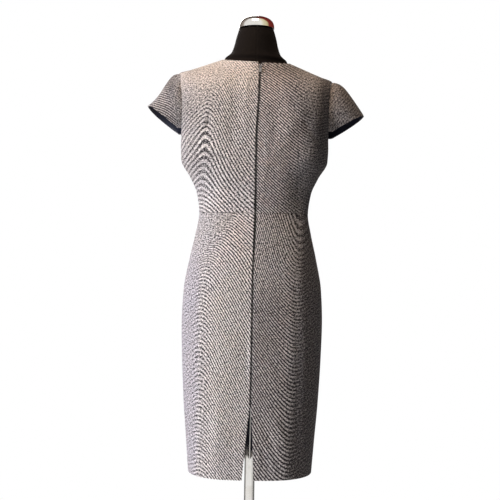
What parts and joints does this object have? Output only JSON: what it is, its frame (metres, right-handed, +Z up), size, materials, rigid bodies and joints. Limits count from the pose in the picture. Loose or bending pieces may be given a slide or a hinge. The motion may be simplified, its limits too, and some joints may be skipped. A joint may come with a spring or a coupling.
{
  "type": "sheath dress on dress form",
  "caption": "Knee-length sheath dress of flecked suiting with cap sleeves, a back zip and a back vent, on a limbless dress form with a pole and a round base.",
  "frame": {"origin": "on the floor, at the centre of the base's underside, on the pole's axis", "axes": "+Z up; the back of the dress, with its zip and vent, faces +Y and the front faces -Y; the wearer's left is +X"},
  "size_m": [0.5237, 0.34, 1.5958],
  "materials": {
    "suiting": "two-tone flecked wool suiting, cream and near-black, with a fine steep diagonal",
    "lining": "smooth navy-black lining with a slight sheen",
    "zip_tape": "woven grey zip tape",
    "zip_metal": "grey enamelled zip metal",
    "jersey": "matte black stretch jersey",
    "polished_steel": "polished steel"
  },
  "bodies": {
    "dress_and_form": {"bodice_front": "suiting", "bodice_back_left": "suiting", "bodice_back_right": "suiting", "skirt_front": "suiting", "skirt_back_left": "suiting", "skirt_back_right": "suiting", "sleeve_left": "suiting", "sleeve_right": "suiting", "sleeve_lining_left": "lining", "sleeve_lining_right": "lining", "skirt_lining": "lining", "zip_tape_left": "zip_tape", "zip_tape_right": "zip_tape", "zip_slider": "zip_metal", "form_torso": "jersey", "neck_cap": "polished_steel", "form_collar": "polished_steel", "pole": "polished_steel", "base": "polished_steel"},
    "zip_pull": {"zip_pull": "zip_metal"}
  },
  "joints": [
    {"name": "zip_pull_turn", "type": "hinge", "parent": "dress_and_form", "child": "zip_pull", "pos_m": [-0.01052, 0.07824, 1.46077], "axis": [1, 0, 0], "range_deg": [0, 150]}
  ]
}
